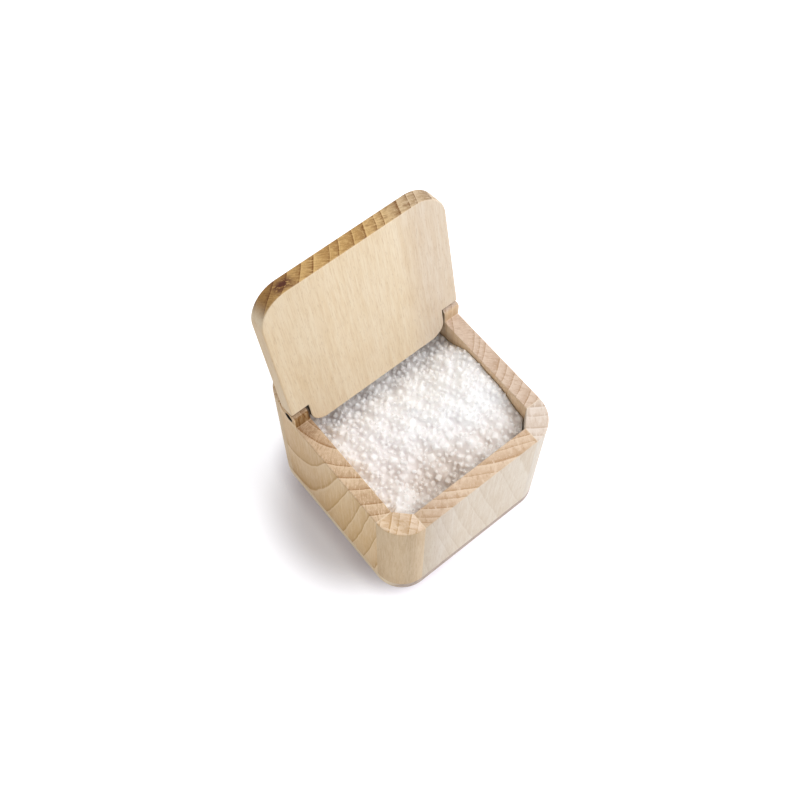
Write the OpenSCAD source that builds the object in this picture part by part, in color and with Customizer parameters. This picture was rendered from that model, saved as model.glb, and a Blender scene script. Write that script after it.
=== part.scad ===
// Wooden salt box with a hinged lid, shown open and leaning on its stop.
// Four boards and four corner posts are glued up on a base plate. The boards and posts stand
// with their grain upright, so the rim shows end grain. The side boards rise at the back into
// two ears. The lid is one board of the same stock, whose tongue turns between the ears on two
// pins. Origin: bottom centre of the box. X runs along the hinge, the front faces -Y, Z is up.

/* [Box] */
// Width across the side walls
box_w = 100; // [84:1:140]
// Depth from front to back
box_d = 104; // [92:1:140]
// Height of the rim above the table
rim_h = 80; // [60:1:120]
// Thickness of the boards that make the walls
wall_t = 8.8; // [7:0.2:11]
// Thickness of the base plate under the walls
base_t = 6; // [4:0.5:10]
// Radius of the upright outer corners, also the width of a corner post
corner_r = 16; // [14:0.5:22]
// Radius that eases the outer edges of the rim, ears and base
outer_edge_r = 0.8; // [0.3:0.1:1.5]
// Radius that eases the inner edge of the rim
inner_edge_r = 0.5; // [0.2:0.1:1.2]

/* [Lid] */
// Thickness of the lid board
lid_t = 8.8; // [7:0.2:11]
// Radius that eases the long edges of the lid
lid_edge_r = 0.7; // [0.3:0.1:1.5]
// Length of the tongue behind the pin axis
tongue_l = 11; // [9:0.5:14]
// Radius of the tongue's two rear corners
tongue_r = 8.5; // [6:0.5:9]
// Radius in the two inside corners where the tongue leaves the lid
notch_r = 0.8; // [0.3:0.1:1.2]

/* [Hinge] */
// Angle that the lid stands open from closed, where it leans on the ears
open_angle = 101.8; // [96:0.1:112]
// Diameter of the hinge pins
pin_d = 5; // [3:0.5:5]
// Length of a pin that sits inside the tongue
pin_grip = 12; // [8:0.5:20]
// Depth of the pin's outer end below the face of the ear
pin_recess = 3; // [1:0.5:4]
// Width of the eased rim round the pin hole
hole_ease = 0.2; // [0.1:0.1:0.4]

/* [Gaps] */
// Gap each side between the tongue and an ear
side_gap = 0.7; // [0.4:0.1:1.2]
// Gap between the lid's shoulders and the ears when the lid is closed
shoulder_gap = 0.7; // [0.4:0.1:1.2]
// Least gap between an ear's rounded nose and the shoulder as the lid turns
nose_gap = 0.15; // [0.1:0.05:0.3]
// Least gap between the swinging tongue and the back wall
swing_gap = 2.25; // [0.6:0.05:4]
// Gap between the closed lid and the rim
seat_gap = 0.1; // [0.05:0.05:0.3]
// Gap between the lid and the ears at the open stop
stop_gap = 0.1; // [0.05:0.05:0.3]
// Radial running clearance of a pin in the lid's bore
pin_gap = 0.05; // [0.02:0.01:0.1]
// Room left past the end of a pin in the lid's bore
bore_end_gap = 0.6; // [0.3:0.1:2]

/* [Hidden] */
$fn = 64;
// Fragments of a small edge radius
edge_fn = 24;
// Overshoot of a cutting body past the face it cuts, and depth that joined bodies share
cut_over = 1;
// Least radius left on the ear's nose where the gaps would allow a sharp one
least_nose_r = 0.4;

half_w = box_w / 2;
half_d = box_d / 2;
inner_x = half_w - wall_t;
inner_y = half_d - wall_t;
post_x = half_w - corner_r;
post_y = half_d - corner_r;

// The pin axis runs through the middle of the lid's thickness
pin_arm = lid_t / 2;
ear_top = rim_h + seat_gap + lid_t;
pin_z = rim_h + seat_gap + pin_arm;
// The back edge of the turning tongue passes swing_gap in front of the back wall
swing_r = sqrt(tongue_l * tongue_l + pin_arm * pin_arm);
pin_y = inner_y - swing_gap - swing_r;

// Distance from the pin axis to the shoulder that lets the shoulder's outer edge come down
// on the flat top of the ear exactly at open_angle
shoulder_arm = (pin_arm + stop_gap - pin_arm * cos(open_angle)) / sin(open_angle);
shoulder_y = pin_y - shoulder_arm;
ear_arm = shoulder_arm - shoulder_gap;
ear_y = pin_y - ear_arm;
// Radius of the ear's top front corner, so that its farthest point from the pin axis stays
// nose_gap inside the sweep of the shoulder
sweep = shoulder_arm - nose_gap;
nose_sum = ear_arm + pin_arm - sweep;
nose_prod = ear_arm * ear_arm + pin_arm * pin_arm - sweep * sweep;
nose_r = max(least_nose_r, nose_sum - sqrt(nose_sum * nose_sum - nose_prod));
// Small radius at the foot of the ear, clear of the closed shoulder
ear_foot_r = shoulder_gap - nose_gap;

tongue_x = inner_x - side_gap;
pin_r = pin_d / 2;
pin_l = wall_t - pin_recess + side_gap + pin_grip;
pin_ease = pin_d / 12;

beech = [0.88, 0.79, 0.67];
beech_end = [0.84, 0.72, 0.57];
beech_lid = [0.89, 0.80, 0.66];
steel = [0.45, 0.44, 0.43];

// Lays a flat outline drawn in Y and Z into the YZ plane and extrudes it along X, centred
module along_x(length) {
    rotate([90, 0, 90])
        translate([0, 0, -length / 2])
            linear_extrude(length) children();
}

// Stands a flat outline drawn in X and Z upright and extrudes it along Y from y0 to y1
module along_y(y0, y1) {
    translate([0, y1, 0])
        rotate([90, 0, 0])
            linear_extrude(y1 - y0) children();
}

// Rectangle from 0 to a in X and z0 to z1 in Y, whose far corners have radius top and bottom
module eased_end(a, z0, z1, top, bottom) {
    reach = max(top, bottom);
    translate([0, z0]) square([a - reach, z1 - z0]);
    translate([0, z0 + bottom]) square([a, z1 - z0 - top - bottom]);
    if (top > 0) {
        translate([0, z1 - top - cut_over]) square([a - top, top + cut_over]);
        translate([a - top, z1 - top]) circle(top, $fn = edge_fn);
    }
    if (bottom > 0) {
        translate([0, z0]) square([a - bottom, bottom + cut_over]);
        translate([a - bottom, z0 + bottom]) circle(bottom, $fn = edge_fn);
    }
}

// Board section from the inner face to the outer face, with both top edges eased
module rim_section(z1) {
    translate([inner_edge_r, 0]) eased_end(wall_t - inner_edge_r, base_t, z1, outer_edge_r, 0);
    translate([0, base_t]) square([wall_t / 2, z1 - base_t - inner_edge_r]);
    translate([inner_edge_r, z1 - inner_edge_r]) circle(inner_edge_r, $fn = edge_fn);
}

// Slab from y = 0 to l, as wide as w, with two round corners of radius r at its far end and
// the edges round its sides and far end eased. The core reaches into every other piece of it.
module eased_slab(w, l, r, z0, z1, top, bottom) {
    translate([-(w - r) / 2, 0, z0]) cube([w - r, l - r / 2, z1 - z0]);
    for (side = [0, 1])
        mirror([side, 0, 0]) {
            along_y(0, l - r) eased_end(w / 2, z0, z1, top, bottom);
            translate([w / 2 - r, l - r, 0])
                rotate_extrude(angle = 90) eased_end(r, z0, z1, top, bottom);
        }
    along_x(w - 2 * r) eased_end(l, z0, z1, top, bottom);
}

module base_plate() {
    color(beech)
        for (end = [0, 1])
            mirror([0, end, 0])
                eased_slab(box_w, half_d, corner_r, 0, base_t, 0, outer_edge_r);
}

// Wall between two posts, drawn on the back and mirrored to the front
module end_wall(z1) {
    along_x(2 * post_x) translate([inner_y, 0]) rim_section(z1);
}

module front_wall() {
    color(beech) mirror([0, 1, 0]) end_wall(rim_h);
}

module back_wall() {
    color(beech) end_wall(ear_top);
}

// Side view of the ear: flat top, round nose at the top front corner
module ear_outline() {
    translate([ear_y + nose_r, base_t]) square([post_y - ear_y - nose_r, ear_top - base_t]);
    translate([ear_y, base_t]) square([post_y - ear_y, ear_top - nose_r - base_t]);
    translate([ear_y + nose_r, ear_top - nose_r]) circle(nose_r);
}

// Hole for the pin through the ear, with an eased rim on the outer face
module pin_hole() {
    translate([inner_x - cut_over, pin_y, pin_z])
        rotate([0, 90, 0]) cylinder(h = wall_t + 2 * cut_over, r = pin_r);
    translate([half_w - hole_ease, pin_y, pin_z])
        rotate([0, 90, 0]) cylinder(h = 2 * hole_ease, r1 = pin_r, r2 = pin_r + 2 * hole_ease);
}

// Side board on the right: one board with the ear cut in one piece with it
module side_wall() {
    difference() {
        union() {
            along_y(-post_y, post_y) translate([inner_x, 0]) rim_section(rim_h);
            intersection() {
                translate([inner_x + wall_t / 2, 0, 0]) along_x(wall_t) ear_outline();
                along_y(ear_y, post_y) translate([inner_x, 0]) rim_section(ear_top);
            }
            translate([inner_x + (wall_t + inner_edge_r - outer_edge_r) / 2, ear_y, rim_h])
                along_x(wall_t - inner_edge_r - outer_edge_r)
                    difference() {
                        translate([-ear_foot_r, -cut_over]) square(ear_foot_r + cut_over);
                        translate([-ear_foot_r, ear_foot_r]) circle(ear_foot_r, $fn = edge_fn);
                    }
        }
        pin_hole();
    }
}

module right_wall() {
    color(beech) side_wall();
}

module left_wall() {
    color(beech) mirror([1, 0, 0]) side_wall();
}

// Post in the right rear corner: quarter round outside, flat at 45 degrees inside
module corner_post(z1) {
    leg = corner_r - wall_t;
    difference() {
        translate([post_x, post_y, 0])
            rotate_extrude(angle = 90) eased_end(corner_r, base_t, z1, outer_edge_r, 0);
        translate([post_x, post_y, base_t - cut_over])
            linear_extrude(z1 - base_t + 2 * cut_over)
                polygon([[-cut_over, -cut_over], [leg + cut_over, -cut_over], [-cut_over, leg + cut_over]]);
        translate([post_x + leg / 2, post_y + leg / 2, z1 - inner_edge_r])
            rotate([0, 0, -45])
                along_x(2 * leg)
                    difference() {
                        translate([-cut_over, 0]) square([inner_edge_r + cut_over, 2 * inner_edge_r]);
                        translate([inner_edge_r, 0]) circle(inner_edge_r, $fn = edge_fn);
                    }
    }
}

module front_left_post() {
    color(beech_end) mirror([1, 0, 0]) mirror([0, 1, 0]) corner_post(rim_h);
}

module front_right_post() {
    color(beech_end) mirror([0, 1, 0]) corner_post(rim_h);
}

module rear_left_post() {
    color(beech_end) mirror([1, 0, 0]) corner_post(ear_top);
}

module rear_right_post() {
    color(beech_end) corner_post(ear_top);
}

// Pin on the right, with its ends eased
module hinge_pin() {
    translate([half_w - pin_recess - pin_l, pin_y, pin_z])
        rotate([0, 90, 0])
            rotate_extrude()
                polygon([[0, 0], [pin_r - pin_ease, 0], [pin_r, pin_ease],
                         [pin_r, pin_l - pin_ease], [pin_r - pin_ease, pin_l], [0, pin_l]]);
}

module right_hinge_pin() {
    color(steel) hinge_pin();
}

module left_hinge_pin() {
    color(steel) mirror([1, 0, 0]) hinge_pin();
}

// Lid drawn closed, about the pin axis: the board in front of the shoulders, the tongue
// behind them, a fillet in each inside corner and a bore from each side
module closed_lid() {
    difference() {
        union() {
            translate([0, -shoulder_arm, 0])
                mirror([0, 1, 0])
                    eased_slab(box_w, half_d + shoulder_y, corner_r, -pin_arm, pin_arm,
                               lid_edge_r, lid_edge_r);
            translate([0, -shoulder_arm - corner_r, 0])
                eased_slab(2 * tongue_x, corner_r + shoulder_arm + tongue_l, tongue_r,
                           -pin_arm, pin_arm, lid_edge_r, lid_edge_r);
            for (side = [0, 1])
                mirror([side, 0, 0])
                    translate([tongue_x, -shoulder_arm, -pin_arm + lid_edge_r])
                        linear_extrude(lid_t - 2 * lid_edge_r)
                            difference() {
                                translate([-cut_over, -cut_over]) square(notch_r + cut_over);
                                translate([notch_r, notch_r]) circle(notch_r, $fn = edge_fn);
                            }
        }
        for (side = [-1, 1])
            rotate([0, side * 90, 0])
                translate([0, 0, tongue_x - pin_grip - bore_end_gap])
                    cylinder(h = pin_grip + bore_end_gap + cut_over, r = pin_r + pin_gap);
    }
}

module lid() {
    color(beech_lid)
        translate([0, pin_y, pin_z])
            rotate([-open_angle, 0, 0])
                closed_lid();
}

base_plate();
front_wall();
back_wall();
left_wall();
right_wall();
front_left_post();
front_right_post();
rear_left_post();
rear_right_post();
left_hinge_pin();
right_hinge_pin();
lid();
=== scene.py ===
"""Looks of the salt box: beech boards with their own grain, steel pins, and coarse salt in the well."""
import math

import bmesh
import bpy
import numpy as np
from mathutils import Euler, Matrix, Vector


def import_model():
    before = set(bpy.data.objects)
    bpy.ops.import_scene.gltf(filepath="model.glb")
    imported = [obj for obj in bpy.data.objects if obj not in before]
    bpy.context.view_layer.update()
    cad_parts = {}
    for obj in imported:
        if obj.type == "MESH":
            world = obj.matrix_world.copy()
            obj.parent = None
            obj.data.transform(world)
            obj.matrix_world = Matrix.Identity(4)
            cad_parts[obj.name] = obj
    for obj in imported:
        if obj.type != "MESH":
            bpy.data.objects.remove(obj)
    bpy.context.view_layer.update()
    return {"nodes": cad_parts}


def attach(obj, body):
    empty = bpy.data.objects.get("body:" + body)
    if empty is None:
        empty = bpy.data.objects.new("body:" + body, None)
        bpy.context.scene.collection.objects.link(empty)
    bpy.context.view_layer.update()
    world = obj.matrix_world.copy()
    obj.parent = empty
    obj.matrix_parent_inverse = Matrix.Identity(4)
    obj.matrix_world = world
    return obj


# Camera, as fitted to the photograph.
LENS_MM = 51.0056
SENSOR_MM = 36.0
CAMERA_PLACE = (-0.153932, -0.176260, 0.563426)
CAMERA_TURN_DEG = (26.04812, -0.36243, -39.09951)

# The box: half its width, the height of its rim, and the front of the ears that rise above the rim.
HALF_WIDTH = 0.050
RIM_Z = 0.080
EAR_Y = 0.0158

# The well inside the boards, and where the flats of the corner posts cross its corners: |x| + |y| there.
WELL_X = 0.0412
WELL_Y = 0.0432
FLAT_REACH = 0.0772

# The lid's hinge: the middle and radius of its pins, and how far it stands open at rest.
PIN_Y = 0.0291026
PIN_Z = 0.0845
PIN_RADIUS = 0.0025
OPEN_DEG = 101.8

# Cuts beside the hinge, each as where its painted shade ends and where it is full: along Y on an ear's
# nose, along X on the sides of the lid's tongue, and along Z on the lid's shoulders.
NOSE_SHADE = (0.031, 0.026)
TONGUE_CUT = (0.0440, 0.0425)
SHOULDER_CUT = (0.100, 0.094)

# Wood colours of the boards' faces, each as early wood, the middle of a ring and late wood.
CREAM = ((0.850, 0.722, 0.538), (0.785, 0.623, 0.418), (0.60, 0.41, 0.23))
HONEY = ((0.815, 0.618, 0.395), (0.705, 0.478, 0.230), (0.47, 0.260, 0.070))
AMBER = ((0.670, 0.508, 0.315), (0.595, 0.415, 0.225), (0.42, 0.26, 0.11))
PEARL = ((0.750, 0.672, 0.572), (0.680, 0.572, 0.452), (0.52, 0.40, 0.27))
ASHEN = ((0.740, 0.680, 0.605), (0.670, 0.585, 0.495), (0.52, 0.41, 0.30))
ROSY = ((0.790, 0.615, 0.430), (0.710, 0.510, 0.315), (0.54, 0.34, 0.17))

# The same three for the ends of the boards, where the fibres are cut across.
LEFT_END = ((0.720, 0.548, 0.380), (0.575, 0.402, 0.250), (0.35, 0.190, 0.08))
FRONT_END = ((0.745, 0.590, 0.445), (0.665, 0.490, 0.345), (0.47, 0.290, 0.160))
RIGHT_END = ((0.700, 0.560, 0.450), (0.615, 0.460, 0.350), (0.43, 0.275, 0.17))
POST_END = ((0.790, 0.625, 0.455), (0.710, 0.525, 0.355), (0.50, 0.30, 0.13))
ASHEN_END = ((0.770, 0.675, 0.600), (0.710, 0.600, 0.510), (0.54, 0.41, 0.31))
BASE_END = ((0.560, 0.465, 0.405), (0.480, 0.385, 0.330), (0.32, 0.235, 0.195))
LID_END = ((0.760, 0.590, 0.375), (0.545, 0.375, 0.200), (0.23, 0.110, 0.032))

# Marks on the wood: flecks, rubbed edges with a painted highlight, the knot, painted shade on the ears'
# notches, and painted shade in a bore and in the gaps by the hinge.
FLECK = (0.40, 0.23, 0.11)
WORN_AND_HIGHLIT = (0.90, 0.79, 0.62)
KNOT = (0.09, 0.022, 0.008)
NOTCH_SHADE = (0.34, 0.225, 0.09)
GAP_SHADE = (0.02, 0.012, 0.008)

# The pins' steel, bright and dull, and the salt: clear, clouded and the darkest cell. Then painted shade on
# the
# salt: warm as light off the wood low down in front, and at the left and in the hollows between crystals.
STEEL_BRIGHT = (0.20, 0.195, 0.19)
STEEL_DULL = (0.09, 0.08, 0.07)
SALT_CLEAR = (0.995, 0.995, 1.0)
SALT_CLOUDED = (0.965, 0.955, 0.965)
SALT_CELL = (0.86, 0.835, 0.845)
SALT_LOW_SHADE = (0.77, 0.70, 0.645)
SALT_LEFT_SHADE = (0.975, 0.965, 0.965)
SALT_HOLLOW_SHADE = (0.90, 0.885, 0.885)

# Tints across a whole piece, some of them painted shade: the axis they grow along, where they start,
# where they are full, a colour.
LEFT_WALL_FADES = (("Y", -0.010, 0.016, (0.90, 0.87, 0.85)),)
# Painted shade: the front wall darker, and yellower, towards its left end, away from the lamp.
FRONT_WALL_SHADE = (
    ("X", -0.006, -0.036, (0.84, 0.83, 0.85)),
    ("X", -0.022, -0.037, (0.955, 0.915, 0.81)),
)
# Painted shade and light round the post's curve: darker across its middle, lighter and cooler towards the
# front wall.
FRONT_LEFT_POST_SHADING = (
    ("X", -0.046, -0.041, (0.88, 0.87, 0.86)),
    ("X", -0.041, -0.036, (1.17, 1.22, 1.34)),
)
LID_FADES = (
    ("X", -0.012, -0.036, (0.93, 0.91, 0.88)),
    ("X", 0.018, 0.036, (0.90, 0.91, 0.99)),
    ("X", -0.0488, -0.0498, (0.96, 0.91, 0.84)),
)

# Stains round the pith on the lid's ends: where each is full and where it has gone, in mm, and its colour.
LID_HEART = (
    (70.0, 115.0, (0.92, 0.78, 0.50)),
    (30.0, 56.0, (0.60, 0.49, 0.34)),
)

# Salt's surface in mm: its usual height, its hills, and a hollow and a hill at the front, each as height,
# middle and reach. How far it falls between two places towards the back, and how high its waves are.
SALT_LEVEL = 70.8
SALT_HILLS = (
    (7.4, (33.0, -9.0), (34.0, 16.0)),
    (2.2, (-12.0, 2.0), (22.0, 16.0)),
    (3.0, (41.0, 10.0), (14.0, 16.0)),
)
FRONT_HILLS = (
    (-5.5, (-12.0, -36.0), (15.0, 11.0)),
    (2.4, (-33.0, -33.0), (10.0, 10.0)),
)
SALT_FALL = 4.6
FALL_START = 10.0
FALL_END = 27.0
BROAD_WAVE = 0.9
SHORT_WAVE = 0.6

# Highest that the surface comes in mm, and how far it stays from the circle that the lid's tongue sweeps.
SALT_TOP = 78.2
TONGUE_SWING = 11.9
SWING_GAP = 1.9

# Salt's crystals: the seed of all that is random, how many forms there are, the most crystals there may be,
# and their radius: the usual one, how widely it varies, the least and the most.
SALT_SEED = 11
CRYSTAL_FORMS = 20
GRAIN_COUNT = 2400
GRAIN_RADIUS = 0.0020
GRAIN_SPREAD = 0.34
LEAST_RADIUS = 0.0012
MOST_RADIUS = 0.0035

# How they lie. Each tries some places at once, and the heap is done after many misses in a row.
# As shares of their radii: how near two middles come, how near a middle comes to the wood,
# and how far below the surface a middle may start and has to stay. No ball rises above HEAP_TOP.
PLACES_TRIED = 16
MOST_MISSES = 250
NESTLE = 0.80
WALL_SHARE = 0.8
DEEPEST = 0.60
HIGHEST = 0.15
HEAP_TOP = 0.0795

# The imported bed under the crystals: its points across the well, its gaps to the boards and posts, how far
# it lies below the surface, the share of that at a board, how far off it is all of it, and its thickness.
BED_POINTS_X = 55
BED_POINTS_Y = 58
SALT_GAP = 0.0003
FLAT_GAP = 0.0002
BED_BELOW = 0.0018
BED_AT_WALL = 0.6
BED_RISE = 0.0020
CRUST = 0.006

# The one skin over bed and crystals: size of its mesh, and how flat it has to be for larger faces.
MESH_SIZE = 0.00044
MESH_FLATNESS = 0.0003

# The floor: half its side, and its colour as the camera sees it and as the light finds it.
FLOOR_HALF = 6.0
FLOOR_SHOWN = (0.91, 0.92, 0.99)
FLOOR_LIT = (0.92, 0.915, 0.92)

# Foot of the box: half its sides less the corner radius, with a height that takes no part, and that radius.
# The floor has a painted shadow beside the foot: the colour there, its strength at the foot, and how far
# out it goes.
FOOT_HALF = (0.034, 0.036, 1.0)
FOOT_ROUND = 0.016
FOOT_SHADE = (0.42, 0.36, 0.40)
FOOT_SHADE_SHARE = 0.55
FOOT_SHADE_END = 0.011

# Middle of the soft shadow on the floor, how far from it the shadow starts and ends to fade,
# and the glow beyond it, which makes the paper white.
SHADE_MIDDLE = (-0.030, 0.0, 0.0)
SHADE_DARK = 0.031
SHADE_END = 0.063
PAPER_GLOW = 0.46

# Light: how bright it is from all round, and the one lamp.
WHITE = (1.0, 1.0, 1.0, 1.0)
STUDIO_LIGHT = 0.64
KEY_PLACE = (0.62, -0.38, 1.05)
KEY_TARGET = (0.0, 0.0, 0.05)
KEY_SIZE = 1.0
KEY_WATTS = 10.0
KEY_COLOUR = (0.985, 0.99, 1.0)


class Tree:
    """Short names for making and joining the nodes of one material."""

    def __init__(self, name):
        self.material = bpy.data.materials.new(name)
        self.material.use_nodes = True
        self.nodes = self.material.node_tree.nodes
        self.links = self.material.node_tree.links
        self.nodes.clear()

    def put(self, socket, value):
        if isinstance(value, bpy.types.NodeSocket):
            self.links.new(value, socket)
        elif isinstance(value, (tuple, list)) and len(value) == 3 and socket.type == "RGBA":
            socket.default_value = (*value, 1.0)
        else:
            socket.default_value = value

    def node(self, kind, inputs=(), **settings):
        made = self.nodes.new(kind)
        for key, value in settings.items():
            setattr(made, key, value)
        for key, value in dict(inputs).items():
            self.put(made.inputs[key], value)
        return made

    def math(self, operation, a, b=0.0, clamp=False):
        made = self.node("ShaderNodeMath", operation=operation, use_clamp=clamp)
        self.put(made.inputs[0], a)
        self.put(made.inputs[1], b)
        return made.outputs[0]

    def times(self, first, *others):
        for value in others:
            first = self.math("MULTIPLY", first, value)
        return first

    def plus(self, a, b, clamp=False):
        return self.math("ADD", a, b, clamp)

    def less(self, a, b):
        return self.math("SUBTRACT", a, b)

    def larger(self, a, b):
        return self.math("MAXIMUM", a, b)

    def absolute(self, value):
        return self.math("ABSOLUTE", value)

    def vector(self, operation, a, b=(0.0, 0.0, 0.0), scale=1.0):
        made = self.node("ShaderNodeVectorMath", operation=operation)
        self.put(made.inputs[0], a)
        self.put(made.inputs[1], b)
        self.put(made.inputs[3], scale)
        gives_number = operation in ("LENGTH", "DOT_PRODUCT", "DISTANCE")
        return made.outputs["Value" if gives_number else "Vector"]

    def scaled(self, vector, scale):
        return self.vector("SCALE", vector, scale=scale)

    def round_zero(self, colour):
        """The three parts of a random colour, as a vector that points any way."""
        return self.vector("SUBTRACT", colour, (0.5, 0.5, 0.5))

    def drawn_out(self, vector, share):
        """A place for a pattern that is drawn out along Z: share is how much of Z counts."""
        return self.vector("MULTIPLY", vector, (1.0, 1.0, share))

    def split(self, vector):
        return self.node("ShaderNodeSeparateXYZ", {"Vector": vector}).outputs

    def join(self, **parts):
        return self.node("ShaderNodeCombineXYZ", parts).outputs[0]

    def in_frame(self, vector, origin, rotation):
        """The same point, as seen from a frame with this origin and rotation."""
        inputs = {"Vector": vector, "Location": origin, "Rotation": rotation}
        return self.node("ShaderNodeMapping", inputs, vector_type="TEXTURE").outputs[0]

    def noise(self, where, scale, detail=2.0, roughness=0.5, colour=False, four=None):
        """Noise at a place. Its fourth coordinate, where given, makes it a pattern of its own."""
        made = self.node("ShaderNodeTexNoise", {"Scale": scale, "Detail": detail, "Roughness": roughness})
        if four is not None:
            made.noise_dimensions = "4D"
            made.inputs["W"].default_value = four
        self.put(made.inputs["Vector"], where)
        return made.outputs["Color"] if colour else made.outputs[0]

    def span(self, value, low, high, to_low=0.0, to_high=1.0, smooth=True):
        """The value as a share of the way from low to high, and then from to_low to to_high."""
        made = self.node("ShaderNodeMapRange", clamp=True)
        made.interpolation_type = "SMOOTHSTEP" if smooth else "LINEAR"
        for key, number in (("From Min", low), ("From Max", high), ("To Min", to_low), ("To Max", to_high)):
            made.inputs[key].default_value = number
        self.put(made.inputs["Value"], value)
        return made.outputs["Result"]

    def mix(self, share, a, b, blend="MIX"):
        made = self.node("ShaderNodeMix", data_type="RGBA", blend_type=blend)
        self.put(made.inputs[0], share)
        self.put(made.inputs[6], a)
        self.put(made.inputs[7], b)
        return made.outputs[2]

    def surface(self, shader):
        out = self.node("ShaderNodeOutputMaterial")
        self.links.new(shader, out.inputs["Surface"])
        return self.material


def log_place(tree, board, pith, seed):
    """A point of the board as seen from the pith, across the trunk, and the short ripple that moves it.

    The pith wanders slowly along the trunk.
    """
    low, high = (Vector(p) / 1000.0 for p in pith)
    log = tree.in_frame(board, low, (high - low).to_track_quat("Z", "Y").to_euler())
    slow = tree.drawn_out(board, 0.45)
    drift = tree.round_zero(tree.noise(slow, 28.0, 1.0, colour=True, four=seed))
    ripple = tree.round_zero(tree.noise(slow, 170.0, 2.0, colour=True, four=seed + 3))
    moved = tree.vector("ADD", log, tree.scaled(drift, 0.0042))
    moved = tree.vector("ADD", moved, tree.scaled(ripple, 0.0007))
    return tree.vector("MULTIPLY", moved, (1.0, 1.0, 0.0)), ripple


def growth(tree, board, radius, ring, seed):
    """What shows at a point of the board: its rings, fibres, flecks and slow patches of colour."""
    # Ring number, with rings of uneven width, and the place within one ring, from early to late wood.
    count = tree.math("DIVIDE", radius, ring / 1000.0)
    uneven = tree.node("ShaderNodeTexNoise", {"Scale": 0.6, "Detail": 0.0}, noise_dimensions="1D")
    tree.put(uneven.inputs["W"], tree.plus(count, seed * 7.0))
    count = tree.plus(count, tree.times(tree.less(uneven.outputs[0], 0.5), 1.1))
    within = tree.math("FRACT", count)
    late = tree.math("POWER", tree.span(within, 0.10, 0.97, smooth=False), 2.0)
    late = tree.plus(tree.times(late, 0.60), tree.span(within, 0.86, 0.95, 0.0, 0.40))

    # Patterns drawn out along the grain.
    long_grain = tree.drawn_out(board, 0.06)
    fibres = tree.noise(long_grain, 2100.0, 3.0, 0.65, four=seed + 5)
    streaks = tree.noise(long_grain, 760.0, 3.0, 0.62, four=seed + 6)
    flecks = tree.noise(tree.drawn_out(board, 0.22), 1700.0, 1.0, four=seed + 8)
    patches = tree.noise(tree.drawn_out(board, 0.4), 55.0, 4.0, 0.6, four=seed + 9)
    return {
        "within": within,
        "late": tree.times(late, tree.span(within, 0.965, 1.0, 1.0, 0.0)),
        "early": tree.span(within, 0.015, 0.12, 1.0, 0.0),
        "patches": tree.span(patches, 0.36, 0.64),
        "streaks": tree.span(streaks, 0.40, 0.62),
        "fibres": tree.span(fibres, 0.48, 0.68),
        "flecks": tree.span(flecks, 0.60, 0.68),
        "shine": tree.span(tree.times(fibres, streaks), 0.235, 0.15),
        "patch_noise": patches,
        "streak_noise": streaks,
        "fibre_noise": fibres,
    }


def grain(tree, colours, strength, parts):
    """Colour of one kind of surface: slow patches and streaks, then the rings as strong as strength."""
    pale, mid, deep = colours
    shade = tree.plus(tree.times(parts["patches"], 0.55), tree.times(parts["streaks"], 0.40))
    shade = tree.plus(shade, tree.times(parts["within"], 0.55 * strength), clamp=True)
    colour = tree.mix(shade, pale, mid)
    colour = tree.mix(tree.times(parts["late"], strength), colour, deep)
    colour = tree.mix(tree.times(parts["fibres"], 0.36 - 0.14 * strength), colour, deep)
    colour = tree.mix(tree.times(parts["shine"], 0.50), colour, pale)
    return tree.mix(tree.times(parts["early"], 0.8 * strength), colour, pale)


def end_marks(tree, colour, ends, across, radius, heart, seed):
    """Marks on the ends of a board: dark and pale rays that run out from the pith, and stains round it."""
    aside = tree.split(across)
    angle = tree.math("ARCTAN2", aside["X"], aside["Y"])
    ray_place = tree.join(X=tree.times(angle, 0.055), Y=tree.times(radius, 0.13))
    rays = tree.noise(ray_place, 1500.0, 2.0, 0.6, four=seed + 11)
    colour = tree.mix(tree.span(rays, 0.53, 0.66, 0.0, 0.50), colour, ends[2])
    colour = tree.mix(tree.span(rays, 0.46, 0.33, 0.0, 0.70), colour, ends[0])
    for near, far, tint in heart:
        core = tree.span(radius, near / 1000.0, far / 1000.0, 1.0, 0.0)
        colour = tree.mix(core, colour, tint, "MULTIPLY")
    return colour


def knot_mark(tree, board, ripple, knot, seed):
    """How strong the knot is at a point of the board: a cracked oval round its middle."""
    rippled = tree.vector("ADD", board, tree.scaled(ripple, 0.006))
    spot = tree.vector("SUBTRACT", rippled, tuple(k / 1000.0 for k in knot))
    size = tree.vector("LENGTH", tree.vector("MULTIPLY", spot, (0.75, 1.0, 0.12)))
    crack = tree.noise(tree.drawn_out(spot, 0.3), 700.0, 3.0, 0.6, four=seed + 13)
    return tree.times(tree.span(size, 0.0010, 0.0056, 1.0, 0.0), tree.span(crack, 0.36, 0.48))


def rubbed_and_highlit_edges(tree, colour, patches, where):
    """Edges rubbed a little paler, with a painted highlight along them, where they are in reach: not below
    the rim.
    """
    bevel = tree.node("ShaderNodeBevel", {"Radius": 0.0008}, samples=6)
    geometry = tree.node("ShaderNodeNewGeometry")
    bend = tree.vector("DOT_PRODUCT", bevel.outputs[0], geometry.outputs["Normal"])
    edge = tree.times(tree.span(bend, 0.995, 0.93), tree.span(patches, 0.3, 0.6, 0.35, 1.0))
    edge = tree.times(edge, tree.span(where["Z"], RIM_Z - 0.0020, RIM_Z - 0.0005))
    return tree.mix(tree.times(edge, 0.45), colour, WORN_AND_HIGHLIT)


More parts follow.
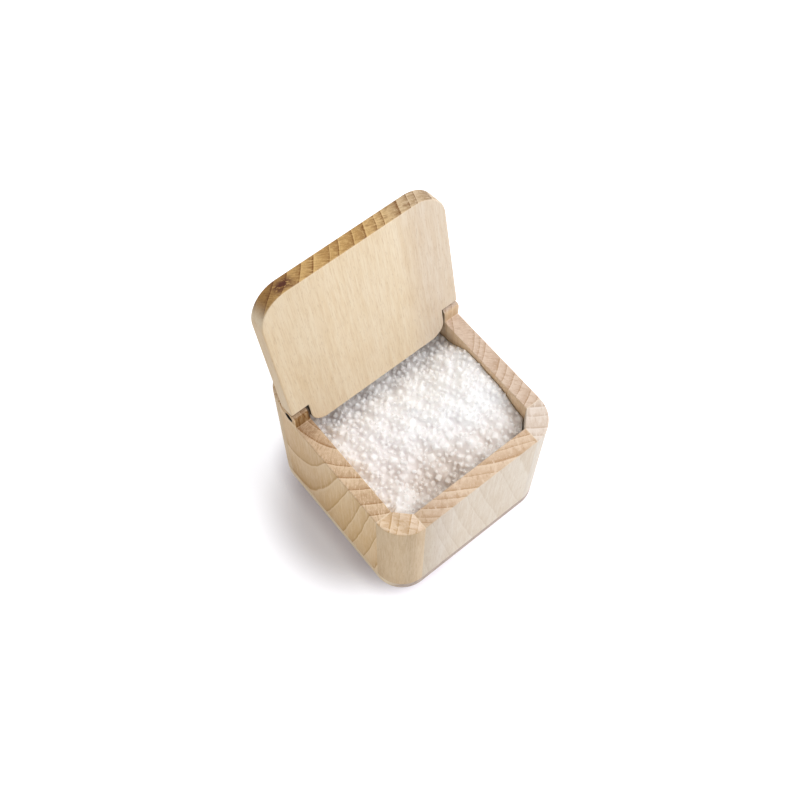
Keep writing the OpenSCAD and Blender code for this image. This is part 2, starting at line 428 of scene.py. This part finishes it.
def ear_painted_shade(tree, colour, where, facing, streaks, shade_strength):
    """Painted shade where the lid shades an ear: on its notched side, beside the lid's tongue, and in the
    pin's hole.
    """
    aside = tree.absolute(where["X"])

    # The painted shade lies on upright faces and on the ear's nose, and faintly on the rest of the ear.
    upright = tree.span(tree.absolute(facing["Z"]), 0.95, 0.55)
    nose = tree.span(where["Z"], PIN_Z, PIN_Z + PIN_RADIUS, 0.0, 0.55)
    nose = tree.times(tree.span(where["Y"], *NOSE_SHADE), nose)
    faint = tree.span(where["Y"], EAR_Y - 0.002, EAR_Y + 0.002, 0.0, 0.3)
    cut = tree.larger(tree.larger(upright, nose), faint)
    behind = tree.span(where["Y"], EAR_Y - 0.004, EAR_Y)
    inside = tree.span(aside, HALF_WIDTH - 0.0001, HALF_WIDTH - 0.0010)
    above = tree.span(where["Z"], RIM_Z - 0.001, RIM_Z)
    streaked = tree.span(streaks, 0.35, 0.60, 0.6 * shade_strength, shade_strength)
    colour = tree.mix(tree.times(behind, cut, inside, above, streaked), colour, NOTCH_SHADE, "MULTIPLY")

    # Painted shade on the face towards the well, in the gap beside the lid's tongue.
    inner = tree.span(aside, WELL_X + 0.0012, WELL_X + 0.0004)
    beside = tree.span(where["Y"], EAR_Y, EAR_Y + 0.002)
    over_rim = tree.span(where["Z"], RIM_Z + 0.0003, RIM_Z + 0.0018)
    colour = tree.mix(tree.times(inner, beside, over_rim, 0.85 * shade_strength), colour, GAP_SHADE)

    # Painted shade inside the pin's hole, and in a thin ring round its mouth.
    flat_place = tree.join(Y=where["Y"], Z=where["Z"])
    from_pin = tree.vector("DISTANCE", flat_place, (0.0, PIN_Y, PIN_Z))
    hole = tree.span(from_pin, PIN_RADIUS + 0.0001, PIN_RADIUS + 0.0004, 0.97, 0.0)
    return tree.mix(hole, colour, GAP_SHADE)


def lid_painted_shade(tree, colour, where, facing, shade_strength):
    """Painted shade in the gaps by the hinge: on the sides of the lid's tongue and the faces of its
    shoulders over the ears.
    """
    sideways = tree.span(tree.absolute(facing["X"]), 0.5, 0.9)
    on_tongue = tree.span(tree.absolute(where["X"]), *TONGUE_CUT)
    downward = tree.span(facing["Z"], -0.3, -0.8)
    over_ear = tree.span(where["Z"], *SHOULDER_CUT)
    cut = tree.larger(tree.times(sideways, on_tongue), tree.times(downward, over_ear))
    return tree.mix(tree.times(cut, shade_strength), colour, GAP_SHADE)


def wood(name, faces, ends, pith, ring, seed, rings=(0.30, 1.0), turn=0.0, place=(0.0, 0.0, 0.0),
         ear_shade=0.0, gap_shade=0.0, knot=None, heart=(), fades=()):
    """Beech. The grain runs along Z of the board's own frame, which stands at place, turned about X.

    faces and ends are the colours along and across the grain. rings says how strong the rings are on them.
    pith is two points of that frame where the heart of the log passes, and ring a ring's width, both in mm.
    ear_shade and gap_shade say how dark the painted shade is by the hinge. knot is the middle of a knot, in
    mm.
    heart holds stains round the pith, and fades holds tints of the whole piece, some of them painted shade.
    """
    tree = Tree(name)
    coordinates = tree.node("ShaderNodeTexCoord")
    where = tree.split(coordinates.outputs["Object"])
    facing = tree.split(coordinates.outputs["Normal"])
    tilt = (math.radians(turn), 0.0, 0.0)
    board = tree.in_frame(coordinates.outputs["Object"], place, tilt)

    # How far the surface is an end of the fibres: 0 along the grain, 1 straight across it.
    fibre = Euler(tilt).to_matrix() @ Vector((0.0, 0.0, 1.0))
    end_on = tree.absolute(tree.vector("DOT_PRODUCT", coordinates.outputs["Normal"], tuple(fibre)))
    across_grain = tree.span(end_on, 0.35, 0.85)
    along_grain = tree.less(1.0, across_grain)

    across, ripple = log_place(tree, board, pith, seed)
    radius = tree.vector("LENGTH", across)
    parts = growth(tree, board, radius, ring, seed)
    face_colour = grain(tree, faces, rings[0], parts)
    face_colour = tree.mix(tree.times(parts["flecks"], 0.16), face_colour, FLECK)
    end_colour = grain(tree, ends, rings[1], parts)
    end_colour = end_marks(tree, end_colour, ends, across, radius, heart, seed)
    colour = tree.mix(across_grain, face_colour, end_colour)
    # Tints over the whole piece; some of them are painted shade.
    for axis, none, full, tint in fades:
        colour = tree.mix(tree.span(where[axis], none, full), colour, tint, "MULTIPLY")
    if knot:
        mark = knot_mark(tree, board, ripple, knot, seed)
        colour = tree.mix(tree.times(mark, across_grain), colour, KNOT)
    # Edges rubbed paler, with a painted highlight along them.
    colour = rubbed_and_highlit_edges(tree, colour, parts["patch_noise"], where)
    # Painted shade where the lid shades the ears, and in the gaps by the hinge.
    if ear_shade:
        colour = ear_painted_shade(tree, colour, where, facing, parts["streak_noise"], ear_shade)
    # Painted shade on the lid's faces that stand in the gaps by the hinge.
    if gap_shade:
        colour = lid_painted_shade(tree, colour, where, facing, gap_shade)

    fibres = parts["fibre_noise"]
    rough = tree.plus(tree.times(fibres, 0.16), 0.42)
    rough = tree.plus(rough, tree.times(across_grain, 0.12))
    height = tree.plus(tree.times(fibres, 0.6), tree.times(parts["late"], 0.25))
    height = tree.less(height, tree.times(parts["flecks"], along_grain, 0.3))
    bump = tree.node("ShaderNodeBump", {"Strength": 0.4, "Distance": 0.00012, "Height": height})
    shader = tree.node("ShaderNodeBsdfPrincipled", {"Base Color": colour, "Roughness": rough})
    shader.inputs["Specular IOR Level"].default_value = 0.35
    tree.put(shader.inputs["Normal"], bump.outputs[0])
    return tree.surface(shader.outputs[0])


def steel():
    """Plain turned steel, with fine rings round the pin and a dull skin."""
    tree = Tree("pin_steel_look")
    place = tree.node("ShaderNodeTexCoord").outputs["Object"]
    turned = tree.noise(tree.vector("MULTIPLY", place, (1.0, 0.03, 0.03)), 5200.0, 2.0)
    dull = tree.noise(place, 700.0, 3.0)
    colour = tree.mix(tree.span(dull, 0.35, 0.7), STEEL_BRIGHT, STEEL_DULL)
    rough = tree.plus(tree.times(turned, 0.25), 0.25)
    bump = tree.node("ShaderNodeBump", {"Strength": 0.3, "Distance": 0.00005, "Height": turned})
    shader = tree.node("ShaderNodeBsdfPrincipled", {"Base Color": colour, "Roughness": rough})
    shader.inputs["Metallic"].default_value = 1.0
    tree.put(shader.inputs["Normal"], bump.outputs[0])
    return tree.surface(shader.outputs[0])


def salt_look():
    """Coarse salt: milky crystals that let light some way in, and painted shade in hollows, warmer low in
    front.
    """
    tree = Tree("salt_look")
    place = tree.node("ShaderNodeTexCoord").outputs["Object"]
    geometry = tree.node("ShaderNodeNewGeometry")
    cloud = tree.noise(place, 420.0, 2.0)
    frost = tree.noise(place, 2600.0, 3.0)
    colour = tree.mix(tree.span(cloud, 0.35, 0.7), SALT_CLEAR, SALT_CLOUDED)

    # Each cell has a tone of its own, and its facets lean their own way.
    cells = tree.node("ShaderNodeTexVoronoi", {"Scale": 330.0, "Vector": place}).outputs["Color"]
    tone = tree.node("ShaderNodeSeparateColor", {"Color": cells}).outputs[0]
    colour = tree.mix(tree.span(tone, 0.45, 1.0, 0.0, 0.35), colour, SALT_CELL, "MULTIPLY")
    tilt = tree.scaled(tree.round_zero(cells), 0.14)
    facet = tree.vector("NORMALIZE", tree.vector("ADD", geometry.outputs["Normal"], tilt))

    # Painted shade, warm as light thrown back by the wood, deep down and towards the front.
    where = tree.split(place)
    depth = tree.span(where["Z"], 0.0745, 0.0650)
    front = tree.span(where["Y"], 0.010, -0.026, 0.35, 1.0)
    colour = tree.mix(tree.times(depth, front), colour, SALT_LOW_SHADE)
    # Painted shade on the salt at the left, away from the lamp.
    left = tree.times(tree.span(where["X"], 0.004, -0.024), tree.span(where["Y"], -0.034, -0.022))
    colour = tree.mix(left, colour, SALT_LEFT_SHADE, "MULTIPLY")
    # Painted shade in the hollows between crystals.
    hollows = tree.span(geometry.outputs["Pointiness"], 0.53, 0.47, 0.0, 0.45)
    colour = tree.mix(hollows, colour, SALT_HOLLOW_SHADE, "MULTIPLY")

    rough = tree.plus(tree.times(frost, 0.4), 0.32)
    relief = {"Strength": 0.2, "Distance": 0.00006, "Height": frost, "Normal": facet}
    bump = tree.node("ShaderNodeBump", relief)
    shader = tree.node("ShaderNodeBsdfPrincipled", {"Base Color": colour, "Roughness": rough})
    shader.inputs["IOR"].default_value = 1.45
    shader.inputs["Specular IOR Level"].default_value = 0.4
    shader.inputs["Subsurface Weight"].default_value = 1.0
    shader.inputs["Subsurface Radius"].default_value = (1.0, 0.98, 0.97)
    shader.inputs["Subsurface Scale"].default_value = 0.0050
    tree.put(shader.inputs["Normal"], bump.outputs[0])
    return tree.surface(shader.outputs[0])


def step(value, low, high):
    """Smooth step from 0 at low to 1 at high."""
    share = np.clip((value - low) / (high - low), 0.0, 1.0)
    return share * share * (3.0 - 2.0 * share)


def hills(x, y, ground, shapes):
    """Height of the ground with round hills on it, or hollows where a shape's height is negative."""
    for height, place, reach in shapes:
        away = ((x - place[0]) / reach[0]) ** 2 + ((y - place[1]) / reach[1]) ** 2
        ground = ground + height * np.exp(-away)
    return ground


def salt_height(x, y):
    """Height of the salt's surface over a point of the well, in metres, worked out in mm.

    It stays clear of the circle that the lid's tongue swings through round the pins.
    """
    x = x * 1000.0
    y = y * 1000.0
    top = hills(x, y, SALT_LEVEL, SALT_HILLS)
    top = hills(x, y, top - SALT_FALL * step(y, FALL_START, FALL_END), FRONT_HILLS)
    broad = BROAD_WAVE * np.sin(x * 0.31 + 1.3) * np.sin(y * 0.27 + 0.4)
    top += broad + SHORT_WAVE * np.sin(x * 0.64 + y * 0.21)

    # The pins' middle, to a tenth of a mm.
    pin_y = round(PIN_Y * 1000.0, 1)
    pin_z = round(PIN_Z * 1000.0, 1)
    swing = pin_z - np.sqrt(np.maximum(TONGUE_SWING ** 2 - (y - pin_y) ** 2, 0.0))
    return np.minimum(np.minimum(top, SALT_TOP), swing - SWING_GAP) / 1000.0


def inside_well(x, y, margin):
    """Whether a point is in the well, and farther than the margin from the boards and posts."""
    flat = np.abs(x) + np.abs(y) < FLAT_REACH - margin * math.sqrt(2)
    return (np.abs(x) < WELL_X - margin) & (np.abs(y) < WELL_Y - margin) & flat


def kept_inside(points, margin):
    """The same points, with those that would stand in the wood moved to its surface."""
    x = np.clip(points[:, 0], -WELL_X + margin, WELL_X - margin)
    y = np.clip(points[:, 1], -WELL_Y + margin, WELL_Y - margin)
    over = np.maximum(np.abs(x) + np.abs(y) - (FLAT_REACH - margin * math.sqrt(2)), 0.0) / 2.0
    return np.stack([x - np.sign(x) * over, y - np.sign(y) * over, points[:, 2]], axis=1)


def hull(points):
    """Points and triangles of the convex hull of some points, made to fit a ball of radius 1."""
    mesh = bmesh.new()
    for point in points:
        mesh.verts.new(point)
    bmesh.ops.convex_hull(mesh, input=mesh.verts)
    bmesh.ops.delete(mesh, geom=[v for v in mesh.verts if not v.link_faces], context="VERTS")
    bmesh.ops.triangulate(mesh, faces=mesh.faces)
    bmesh.ops.recalc_face_normals(mesh, faces=mesh.faces)
    mesh.verts.index_update()
    corners = np.array([v.co for v in mesh.verts])
    corners /= np.linalg.norm(corners, axis=1).max()
    faces = np.array([[v.index for v in f.verts] for f in mesh.faces])
    mesh.free()
    return corners, faces


def crystal_forms(rng, count):
    """A few chipped crystals of radius 1, each the convex hull of points spread round a worn cube."""
    corners = np.array([(a, b, c) for a in (-1, 1) for b in (-1, 1) for c in (-1, 1)])
    forms = []
    for _ in range(count):
        # One direction near each corner of the cube, and four anywhere.
        near_corners = corners * rng.uniform(0.35, 1.0, corners.shape)
        spread = np.vstack([near_corners, rng.normal(size=(4, 3))])
        spread /= np.linalg.norm(spread, axis=1)[:, None]

        # A low power rounds the cube like a pebble, a high one keeps it sharp. Each point is then chipped.
        power = rng.uniform(3.0, 14.0)
        worn = spread / (np.abs(spread) ** power).sum(1)[:, None] ** (1.0 / power)
        forms.append(hull(worn * rng.uniform(0.82, 1.0, (len(worn), 1))))
    return forms


def rest_height(balls, x, y, radius):
    """Height at which a ball dropped over each place comes to rest on the others, and -1 if on none."""
    apart = NESTLE * (balls[:, 3] + radius)
    off = (balls[:, 0] - x[:, None]) ** 2 + (balls[:, 1] - y[:, None]) ** 2
    rest = balls[:, 2] + np.sqrt(np.maximum(apart ** 2 - off, 0.0))
    return np.where(off < apart ** 2, rest, -1.0).max(axis=1, initial=-1.0)


def heap(rng):
    """Middle and radius of each crystal: they drop one by one, and each comes to rest on the others."""
    balls = np.empty((GRAIN_COUNT, 4))
    made = 0
    missed = 0
    while made < GRAIN_COUNT and missed < MOST_MISSES:
        radius = rng.lognormal(math.log(GRAIN_RADIUS), GRAIN_SPREAD)
        radius = float(np.clip(radius, LEAST_RADIUS, MOST_RADIUS))
        x = rng.uniform(-WELL_X, WELL_X, PLACES_TRIED)
        y = rng.uniform(-WELL_Y, WELL_Y, PLACES_TRIED)
        inside = inside_well(x, y, WALL_SHARE * radius)
        x, y = x[inside], y[inside]
        if not len(x):
            continue
        top = salt_height(x, y)
        z = np.maximum(top - DEEPEST * radius, rest_height(balls[:made], x, y, radius))
        lowest = int(np.argmin(z - top))
        if z[lowest] > top[lowest] - HIGHEST * radius or z[lowest] + radius > HEAP_TOP:
            missed += 1
            continue
        balls[made] = (x[lowest], y[lowest], z[lowest], radius)
        made += 1
        missed = 0
    return balls[:made]


def salt_bed():
    """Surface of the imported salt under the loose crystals. It fills the well."""
    xs = np.linspace(-WELL_X + SALT_GAP, WELL_X - SALT_GAP, BED_POINTS_X)
    ys = np.linspace(-WELL_Y + SALT_GAP, WELL_Y - SALT_GAP, BED_POINTS_Y)
    index = {}
    points = []
    for i, x in enumerate(xs):
        for j, y in enumerate(ys):
            if inside_well(x, y, FLAT_GAP):
                index[i, j] = len(points)
                flat = (FLAT_REACH - abs(x) - abs(y)) / math.sqrt(2)
                risen = float(step(min(WELL_X - abs(x), WELL_Y - abs(y), flat), 0.0, BED_RISE))
                below = BED_BELOW * (BED_AT_WALL + (1.0 - BED_AT_WALL) * risen)
                points.append((x, y, float(salt_height(x, y)) - below))
    faces = []
    for i in range(len(xs) - 1):
        for j in range(len(ys) - 1):
            ring = [(i, j), (i + 1, j), (i + 1, j + 1), (i, j + 1)]
            have = [index[k] for k in ring if k in index]
            if len(have) >= 3:
                faces.append(have)
    return np.array(points), faces


def close_below(points, faces, thick):
    """Walls and a floor under an open surface, so that it becomes a closed slab."""
    count = {}
    for face in faces:
        for a, b in zip(face, face[1:] + face[:1]):
            count[a, b] = count.get((a, b), 0) + 1
    rim = [(a, b) for (a, b) in count if (b, a) not in count]
    low = len(points)
    lower = points.copy()
    lower[:, 2] -= thick
    all_points = np.vstack([points, lower])
    all_faces = [list(f) for f in faces]
    all_faces += [[a + low for a in reversed(f)] for f in faces]
    all_faces += [[b, a, a + low, b + low] for a, b in rim]
    return all_points, all_faces


def new_mesh(name, points, faces, material):
    mesh = bpy.data.meshes.new(name)
    mesh.from_pydata([tuple(p) for p in points], [], [list(map(int, f)) for f in faces])
    mesh.validate()
    mesh.update()
    mesh.materials.append(material)
    made = bpy.data.objects.new(name, mesh)
    bpy.context.scene.collection.objects.link(made)
    return made


def melted(made, size):
    """The same piece as one closed skin over all its overlapping bodies."""
    modifier = made.modifiers.new("one_skin", "REMESH")
    modifier.mode = "VOXEL"
    modifier.voxel_size = size
    modifier.adaptivity = MESH_FLATNESS
    modifier.use_smooth_shade = False
    ready = made.evaluated_get(bpy.context.evaluated_depsgraph_get())
    skin = bpy.data.meshes.new_from_object(ready)
    made.modifiers.clear()
    made.data = skin
    return made


def crystals(rng, forms, balls, first):
    """Points and faces of one crystal in each ball, turned at random. first is the first point's number."""
    points, faces = [], []
    for x, y, z, radius in balls:
        form_points, form_faces = forms[int(rng.integers(len(forms)))]
        turn = Euler(rng.uniform(0, 2 * math.pi, 3)).to_matrix()
        body = (form_points * rng.uniform(0.70, 1.05, 3) * radius) @ np.array(turn).T
        faces += (form_faces + first).tolist()
        points.append(kept_inside(body + (x, y, z), SALT_GAP))
        first += len(form_points)
    return np.vstack(points), faces


def salt(look):
    """Salt in the well: packed crystals melted into one skin, so that light wanders from one to another."""
    rng = np.random.default_rng(SALT_SEED)
    forms = crystal_forms(rng, CRYSTAL_FORMS)
    balls = heap(rng)
    bed_points, bed_faces = close_below(*salt_bed(), CRUST)
    points, faces = crystals(rng, forms, balls, len(bed_points))
    made = new_mesh("salt_heap", np.vstack([bed_points, points]), list(bed_faces) + faces, look)
    return melted(made, MESH_SIZE)


def floor():
    """A white floor with the object's shadow, a painted shadow by its foot, and white to the camera where
    unshaded.
    """
    tree = Tree("floor_look")
    path = tree.node("ShaderNodeLightPath").outputs
    place = tree.node("ShaderNodeTexCoord").outputs["Object"]
    beyond = tree.vector("SUBTRACT", tree.vector("ABSOLUTE", place), FOOT_HALF)
    beyond = tree.vector("LENGTH", tree.vector("MAXIMUM", beyond))
    # A shadow painted on the floor beside the foot, which only the camera sees.
    foot_shadow_share = tree.span(tree.less(beyond, FOOT_ROUND), 0.0, FOOT_SHADE_END, FOOT_SHADE_SHARE, 0.0)
    shown = tree.mix(foot_shadow_share, FLOOR_SHOWN, FOOT_SHADE)
    paper = tree.mix(path["Is Camera Ray"], FLOOR_LIT, shown)
    diffuse = tree.node("ShaderNodeBsdfDiffuse", {"Color": paper})
    seen = tree.plus(path["Is Camera Ray"], path["Is Glossy Ray"], clamp=True)
    seen = tree.plus(seen, path["Is Transmission Ray"], clamp=True)
    away = tree.vector("LENGTH", tree.vector("SUBTRACT", place, SHADE_MIDDLE))
    lift = tree.span(away, SHADE_DARK, SHADE_END, 0.0, PAPER_GLOW)
    glow = tree.node("ShaderNodeEmission", {"Color": WHITE, "Strength": tree.times(seen, lift)})
    both = tree.node("ShaderNodeAddShader")
    tree.links.new(diffuse.outputs[0], both.inputs[0])
    tree.links.new(glow.outputs[0], both.inputs[1])
    look = tree.surface(both.outputs[0])
    corners = [(x * FLOOR_HALF, y * FLOOR_HALF, 0.0) for x, y in ((-1, -1), (1, -1), (1, 1), (-1, 1))]
    made = new_mesh("floor", corners, [(0, 1, 2, 3)], look)


def lamp(name, place, target, size, watts, colour):
    """A round soft lamp that points at the target."""
    data = bpy.data.lights.new(name, "AREA")
    data.shape = "DISK"
    data.size = size
    data.energy = watts
    data.color = colour
    made = bpy.data.objects.new(name, data)
    bpy.context.scene.collection.objects.link(made)
    made.location = place
    made.rotation_euler = (Vector(target) - Vector(place)).to_track_quat("-Z", "Y").to_euler()


def world():
    """Even studio light from all round, and a plain white where the camera sees past the floor."""
    scene_world = bpy.data.worlds.new("studio")
    bpy.context.scene.world = scene_world
    scene_world.use_nodes = True
    nodes = scene_world.node_tree.nodes
    links = scene_world.node_tree.links
    nodes.clear()
    light = nodes.new("ShaderNodeBackground")
    light.inputs["Color"].default_value = WHITE
    light.inputs["Strength"].default_value = STUDIO_LIGHT
    shown = nodes.new("ShaderNodeBackground")
    shown.inputs["Color"].default_value = WHITE
    shown.inputs["Strength"].default_value = 1.0
    path = nodes.new("ShaderNodeLightPath")
    mix = nodes.new("ShaderNodeMixShader")
    out = nodes.new("ShaderNodeOutputWorld")
    links.new(path.outputs["Is Camera Ray"], mix.inputs[0])
    links.new(light.outputs[0], mix.inputs[1])
    links.new(shown.outputs[0], mix.inputs[2])
    links.new(mix.outputs[0], out.inputs["Surface"])


def camera():
    data = bpy.data.cameras.new("camera")
    data.lens = LENS_MM
    data.sensor_width = SENSOR_MM
    data.sensor_height = SENSOR_MM
    data.clip_start = 0.01
    data.clip_end = 50.0
    made = bpy.data.objects.new("camera", data)
    bpy.context.scene.collection.objects.link(made)
    made.location = CAMERA_PLACE
    made.rotation_mode = "XYZ"
    made.rotation_euler = tuple(math.radians(a) for a in CAMERA_TURN_DEG)
    bpy.context.scene.camera = made


def dress(nodes):
    """A material of its own for each board, post and pin, with rings where the photograph shows them."""
    looks = {
        "left_wall": wood(
            "left_wall_look", HONEY, LEFT_END,
            pith=((1.2, 33.0, 10.0), (-12.0, 28.0, 80.0)), ring=6.4, seed=1.0,
            rings=(0.85, 1.0), ear_shade=1.0, fades=LEFT_WALL_FADES),
        "right_wall": wood(
            "right_wall_look", ROSY, RIGHT_END,
            pith=((14.0, 50.0, 10.0), (10.0, 44.0, 80.0)), ring=4.9, seed=2.0,
            ear_shade=0.16),
        "front_wall": wood(
            "front_wall_look", PEARL, FRONT_END,
            pith=((97.8, 136.0, 0.0), (94.0, 129.0, 80.0)), ring=4.4, seed=3.0,
            fades=FRONT_WALL_SHADE),
        "back_wall": wood(
            "back_wall_look", CREAM, FRONT_END,
            pith=((-30.0, -60.0, 0.0), (-24.0, -52.0, 80.0)), ring=5.4, seed=4.0),
        "front_left_post": wood(
            "front_left_post_look", AMBER, POST_END,
            pith=((-120.0, 55.0, 0.0), (-117.0, 52.0, 80.0)), ring=4.5, seed=5.0,
            rings=(0.14, 1.0), fades=FRONT_LEFT_POST_SHADING),
        "front_right_post": wood(
            "front_right_post_look", ASHEN, ASHEN_END,
            pith=((118.0, 50.0, 0.0), (115.0, 50.0, 80.0)), ring=4.9, seed=6.0,
            rings=(0.14, 1.0)),
        "rear_left_post": wood(
            "rear_left_post_look", AMBER, POST_END,
            pith=((-118.0, -50.0, 0.0), (-115.0, -50.0, 80.0)), ring=4.7, seed=7.0,
            rings=(0.2, 1.0)),
        "rear_right_post": wood(
            "rear_right_post_look", ROSY, POST_END,
            pith=((118.0, -50.0, 0.0), (115.0, -50.0, 80.0)), ring=4.7, seed=8.0,
            rings=(0.2, 1.0)),
        "base_plate": wood(
            "base_plate_look", CREAM, BASE_END,
            pith=((10.0, -50.0, -60.0), (12.0, -48.0, 60.0)), ring=5.2, seed=9.0,
            turn=90.0),
        "lid": wood(
            "lid_look", CREAM, LID_END,
            pith=((-62.0, 32.0, 0.0), (-62.0, 32.0, 81.0)), ring=5.6, seed=10.0,
            rings=(0.12, 1.0), turn=90.0 - OPEN_DEG, place=(0.0, PIN_Y, PIN_Z), gap_shade=0.8,
            knot=(-33.0, -0.5, 81.0), heart=LID_HEART, fades=LID_FADES),
        "left_hinge_pin": steel(),
        "right_hinge_pin": steel(),
    }
    for name, look in looks.items():
        for slot in nodes[name].material_slots:
            slot.material = look


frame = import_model()
camera()
dress(frame["nodes"])
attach(salt(salt_look()), "box")
floor()
world()
lamp("key", KEY_PLACE, KEY_TARGET, KEY_SIZE, KEY_WATTS, KEY_COLOUR)
bpy.context.scene.view_settings.view_transform = "Standard"
